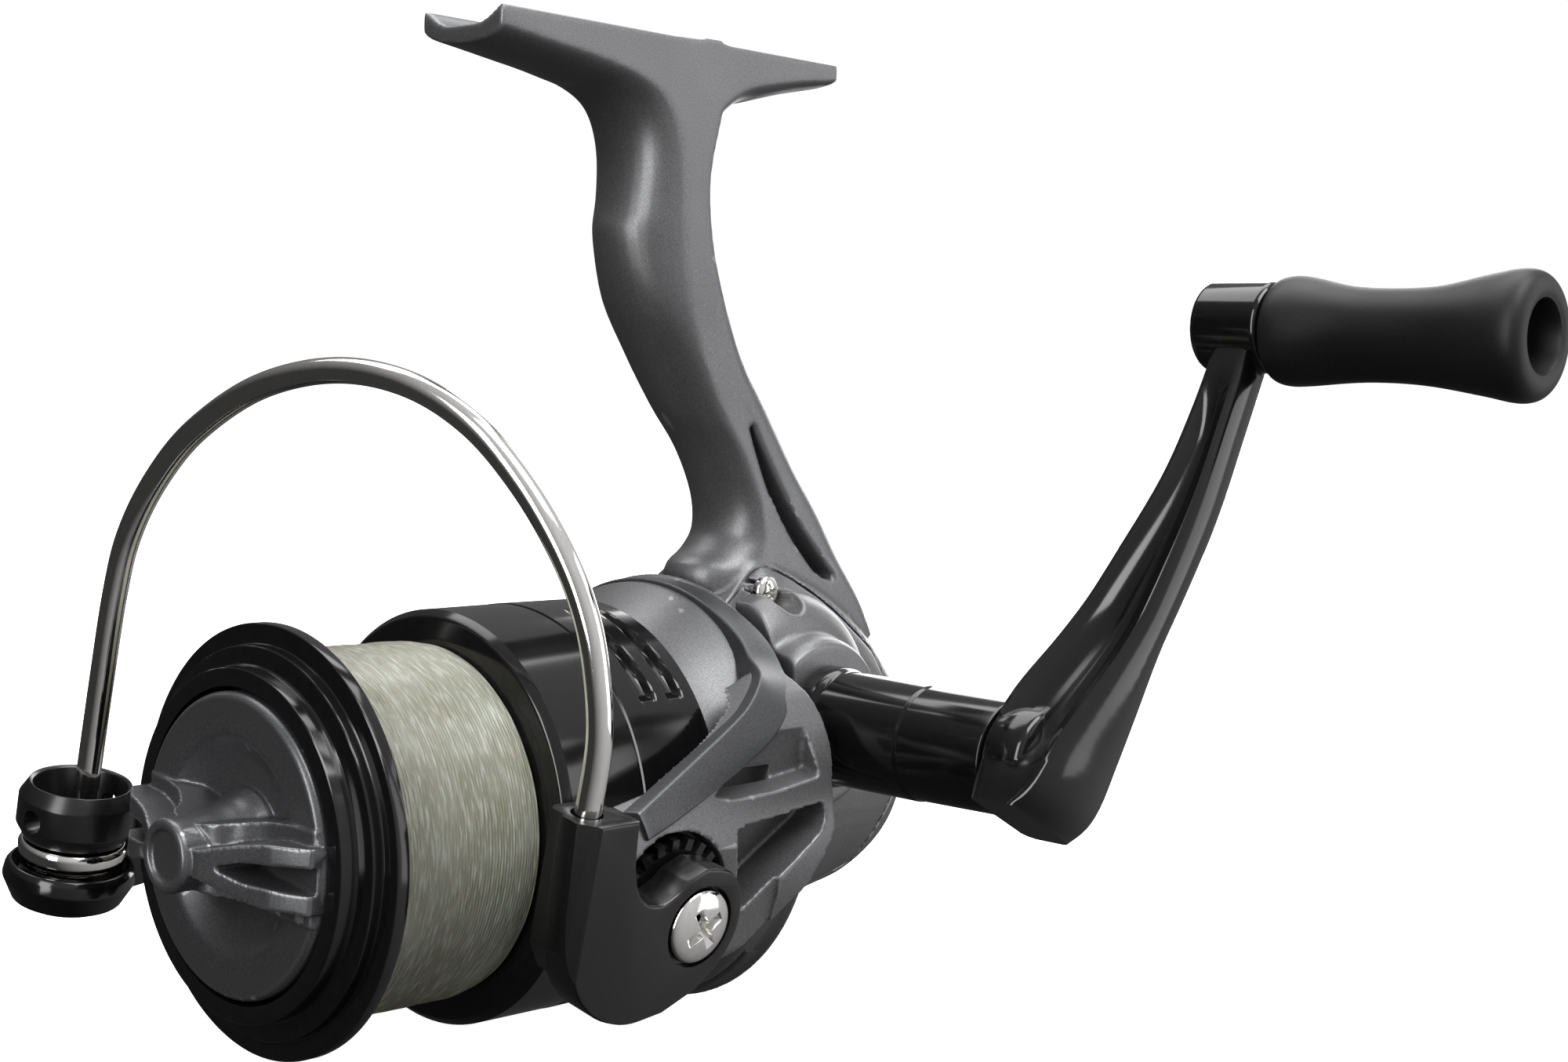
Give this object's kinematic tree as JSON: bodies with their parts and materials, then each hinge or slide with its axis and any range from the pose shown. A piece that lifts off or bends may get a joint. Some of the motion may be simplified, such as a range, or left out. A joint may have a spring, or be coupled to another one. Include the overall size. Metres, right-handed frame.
{
  "type": "spinning fishing reel",
  "caption": "Open-face spinning reel with crank handle, bail wire over a filled spool, rotor with bail arms, drag knob and a curved rod foot.",
  "frame": {"origin": "middle of the flat land along the rod foot's curved seat, where the foot touches the fishing rod", "axes": "+Z out of the seat toward the rod, -Y along the spool axis out of the front of the spool, +X toward the crank handle"},
  "size_m": [0.1386, 0.1127, 0.1176],
  "materials": {
    "graphite": "satin graphite paint",
    "graphite_dark": "satin dark graphite paint",
    "gloss_black": "gloss black",
    "satin_dark": "satin dark grey with a fine metallic fleck",
    "knob_rubber": "fine matte",
    "chrome": "polished",
    "steel": "plain turned steel",
    "alloy": "as cast",
    "brass": "machined",
    "felt": "pressed drag fibre",
    "mono": "translucent pale greenish nylon line, wound"
  },
  "bodies": {
    "frame": {"body_housing": "graphite", "side_cover": "graphite", "rear_cover": "graphite_dark", "cover_screw_1": "chrome", "cover_screw_2": "chrome", "cover_screw_3": "chrome", "front_bearing": "steel", "bearing_retainer": "steel", "anti_reverse_clutch": "steel", "drive_bearing_right": "steel", "drive_bearing_left": "steel", "handle_cap": "gloss_black", "shaft_bracket": "steel", "pinion_bush": "brass", "guide_rod_lower": "steel", "guide_rod_upper": "steel", "oscillation_post": "steel"},
    "handle": {"drive_gear": "brass", "handle_shaft": "gloss_black", "handle_arm": "gloss_black", "knob_post": "steel"},
    "knob": {"handle_knob": "knob_rubber"},
    "rotor": {"rotor": "graphite", "pinion_gear": "brass", "rotor_nut": "steel", "bail_spring": "steel", "pivot_screw_near": "chrome", "pivot_screw_far": "chrome"},
    "bail": {"bail_holder": "gloss_black", "bail_hub": "gloss_black", "bail_wire": "chrome", "bail_arm": "gloss_black", "wire_collar": "gloss_black", "roller_screw": "steel"},
    "roller": {"line_roller": "chrome"},
    "oscillator": {"oscillation_gear": "alloy"},
    "spool_shaft": {"main_shaft": "steel", "spool_support": "brass", "oscillation_slider": "alloy"},
    "spool": {"spool": "gloss_black", "fishing_line": "mono", "drag_washer_rear": "felt", "drag_washer_keyed": "steel", "drag_washer_front": "felt", "drag_retainer": "steel"},
    "drag": {"drag_knob": "satin_dark", "drag_knob_nut": "brass", "drag_spring": "steel"}
  },
  "joints": [
    {"name": "crank", "type": "hinge", "parent": "frame", "child": "handle", "pos_m": [0, 0.0154, -0.0799], "axis": [1, 0, 0], "continuous": true},
    {"name": "knob_spin", "type": "hinge", "parent": "handle", "child": "knob", "pos_m": [0.08, 0.04189, -0.03022], "axis": [1, 0, 0], "continuous": true},
    {"name": "rotor_spin", "type": "hinge", "parent": "frame", "child": "rotor", "pos_m": [0, -0.0046, -0.0894], "axis": [0, -1, 0], "continuous": true},
    {"name": "bail_swing", "type": "hinge", "parent": "rotor", "child": "bail", "pos_m": [0, -0.0203, -0.0894], "axis": [0.9806, 0, -0.1959], "range_deg": [0, 95]},
    {"name": "roller_spin", "type": "hinge", "parent": "bail", "child": "roller", "pos_m": [-0.03434, -0.0541, -0.09692], "axis": [0.1959, 0, 0.9806], "continuous": true},
    {"name": "oscillator_spin", "type": "hinge", "parent": "frame", "child": "oscillator", "pos_m": [-0.007, 0.0261, -0.0884], "axis": [1, 0, 0], "continuous": true},
    {"name": "spool_stroke", "type": "slide", "parent": "frame", "child": "spool_shaft", "axis": [0, -1, 0], "range_m": [0, 0.012]},
    {"name": "spool_slip", "type": "hinge", "parent": "spool_shaft", "child": "spool", "pos_m": [0, -0.0396, -0.0894], "axis": [0, -1, 0], "continuous": true},
    {"name": "drag_turn", "type": "hinge", "parent": "spool_shaft", "child": "drag", "pos_m": [0, -0.0546, -0.0894], "axis": [0, -1, 0], "range_deg": [-360, 360]}
  ],
  "couplings": [
    {"joint": "rotor_spin", "follows": "crank", "ratio": 5.2},
    {"joint": "oscillator_spin", "follows": "crank", "ratio": -0.44444}
  ]
}
